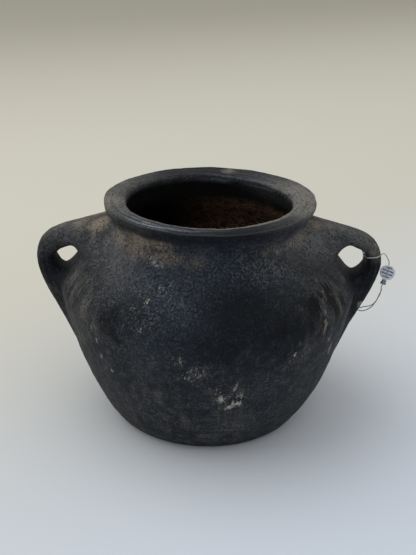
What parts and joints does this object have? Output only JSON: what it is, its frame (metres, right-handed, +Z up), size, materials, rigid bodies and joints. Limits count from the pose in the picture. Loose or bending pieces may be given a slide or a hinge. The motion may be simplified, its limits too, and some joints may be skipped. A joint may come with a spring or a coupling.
{
  "type": "ceramic pot",
  "caption": "Round-bellied dark fired-clay pot with a broad lip, strap handles at the shoulder and a wire-and-lead seal tag hung through one handle; holds food, liquids or plants.",
  "frame": {"origin": "centre of the foot's flat face, under the middle of the two handles", "axes": "+X towards the handle that carries the seal, +Z up through the mouth, so the pictured front faces -Y"},
  "size_m": [0.2942, 0.241, 0.1868],
  "materials": {
    "body_clay": "matte smoke-blackened fired clay, lightly burnished, granular",
    "left_handle_clay": "matte fired clay, browner on top",
    "right_handle_clay": "matte fired clay, chipped along its outer edge",
    "wire": "plain drawn steel wire, dulled",
    "seal": "pressed lead, dull grey",
    "ferrule": "crimped lead sleeve, dark grey"
  },
  "bodies": {
    "pot": {"pot_body": "body_clay", "left_handle": "left_handle_clay", "right_handle": "right_handle_clay"},
    "seal_tag": {"seal_wire": "wire", "wire_tail": "wire", "lead_seal": "seal", "wire_ferrule": "ferrule"}
  },
  "joints": [
    {"name": "seal_swing", "type": "hinge", "parent": "pot", "child": "seal_tag", "pos_m": [0.127, 0, 0.1412], "axis": [0, -1, 0], "range_deg": [0, 65]}
  ]
}
